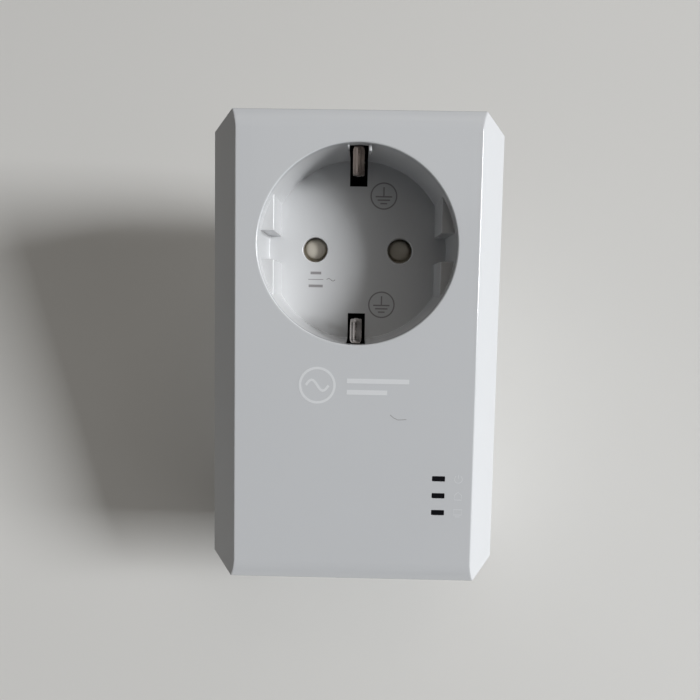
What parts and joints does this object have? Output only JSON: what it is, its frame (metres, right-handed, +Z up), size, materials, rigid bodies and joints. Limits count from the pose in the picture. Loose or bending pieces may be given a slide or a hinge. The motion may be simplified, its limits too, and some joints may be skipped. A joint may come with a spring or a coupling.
{
  "type": "powerline network adapter",
  "caption": "Plug-in powerline network adapter with an earthed round mains socket in its bevelled front, a round pin plug behind, status lights and an Ethernet port below.",
  "frame": {"origin": "centre of the plug's end face, between the two plug pins, which is also the socket's axis", "axes": "+Y into the wall outlet along the plug pins, +Z up when plugged in, front face towards -Y"},
  "size_m": [0.0594, 0.077, 0.0954],
  "materials": {
    "case_front": "polished moulding",
    "case_rear": "fine satin",
    "socket_insert": "polished moulding",
    "plug_plastic": "fine satin",
    "pin_nickel": "nickel-plated brass",
    "earth_nickel": "nickel-plated strip",
    "contact_brass": "bare strip",
    "ferrite": "sintered, dark grey",
    "carrier_plastic": "matt heat-resistant moulding",
    "screw_steel": "zinc plated",
    "shutter_beige": "matt beige moulding",
    "spring_steel": "drawn wire",
    "board_green": "solder mask",
    "jack_black": "matt black moulding",
    "contact_gold": "gold plated",
    "shield_steel": "tinned sheet",
    "button_white": "polished moulding",
    "switch_grey": "matt moulding",
    "black_plastic": "matt moulding",
    "light_pipe_dark": "tinted clear moulding",
    "led_resin": "clear resin",
    "transformer_tape": "ferrite and winding under yellow tape",
    "capacitor_sleeve": "printed-free dark sleeve on an aluminium can",
    "film_capacitor": "yellow moulded box",
    "choke_core": "coated ferrite ring",
    "copper_wire": "enamelled copper",
    "varistor_blue": "dipped coating",
    "fuse_brown": "moulded",
    "coil_black": "wound bobbin with a ferrite core",
    "chip_black": "moulded epoxy",
    "pad_rubber": "soft silicone",
    "sink_aluminium": "extruded",
    "can_steel": "welded can",
    "lead_brown": "soft PVC insulation",
    "lead_blue": "soft PVC insulation",
    "label_plain": "blank label film"
  },
  "bodies": {
    "housing": {"front_cover": "case_front", "rear_cover": "case_rear", "socket_cup": "socket_insert", "plug_body": "plug_plastic", "plug_pin_left": "pin_nickel", "plug_pin_right": "pin_nickel", "plug_earth_contact_top": "earth_nickel", "plug_earth_contact_bottom": "earth_nickel", "plug_earth_tube": "earth_nickel", "earth_strap": "earth_nickel", "line_contact": "contact_brass", "neutral_contact": "contact_brass", "line_ferrite": "ferrite", "neutral_ferrite": "ferrite", "contact_carrier": "carrier_plastic", "carrier_screws": "screw_steel", "shutter_spring": "spring_steel", "main_board": "board_green", "board_screws": "screw_steel", "ethernet_jack": "jack_black", "ethernet_contacts": "contact_gold", "ethernet_shield": "shield_steel", "switch_body": "switch_grey", "light_pipe": "light_pipe_dark", "status_leds": "led_resin", "power_transformer": "transformer_tape", "smoothing_capacitors": "capacitor_sleeve", "suppression_capacitor": "film_capacitor", "noise_choke": "choke_core", "choke_windings": "copper_wire", "surge_varistor": "varistor_blue", "fuse": "fuse_brown", "coupling_transformer": "coil_black", "bridge_rectifier": "chip_black", "main_processor": "chip_black", "thermal_pad": "pad_rubber", "heat_sink": "sink_aluminium", "memory_chip": "chip_black", "flash_chip": "chip_black", "ethernet_magnetics": "chip_black", "crystal": "can_steel", "line_lead": "lead_brown", "neutral_lead": "lead_blue", "case_screws": "screw_steel", "rear_label": "label_plain"},
    "shutter": {"shutter": "shutter_beige"},
    "earth_clip_top": {"earth_clip_top": "earth_nickel"},
    "earth_clip_bottom": {"earth_clip_bottom": "earth_nickel"},
    "pair_button": {"pair_button": "button_white"},
    "switch_plunger": {"switch_plunger": "black_plastic"}
  },
  "joints": [
    {"name": "shutter_slide", "type": "slide", "parent": "housing", "child": "shutter", "axis": [0, 0, -1], "range_m": [0, 0.006], "stiffness_N_per_m": 100, "springref_m": -0.004, "deforming": ["shutter_spring"]},
    {"name": "earth_clip_top_flex", "type": "hinge", "parent": "housing", "child": "earth_clip_top", "pos_m": [0, -0.0364, 0.0185], "axis": [-1, 0, 0], "range_deg": [0, 8], "stiffness_Nm_per_rad": 0.1, "springref_deg": -5.73},
    {"name": "earth_clip_bottom_flex", "type": "hinge", "parent": "housing", "child": "earth_clip_bottom", "pos_m": [0, -0.0364, -0.0185], "axis": [1, 0, 0], "range_deg": [0, 8], "stiffness_Nm_per_rad": 0.1, "springref_deg": -5.73},
    {"name": "pair_button_press", "type": "slide", "parent": "housing", "child": "pair_button", "axis": [0, 0, 1], "range_m": [0, 0.0008], "stiffness_N_per_m": 1000, "springref_m": -0.0003},
    {"name": "switch_plunger_press", "type": "slide", "parent": "housing", "child": "switch_plunger", "axis": [0, 0, 1], "range_m": [0, 0.0008]}
  ],
  "couplings": [
    {"joint": "switch_plunger_press", "follows": "pair_button_press", "ratio": 1}
  ]
}
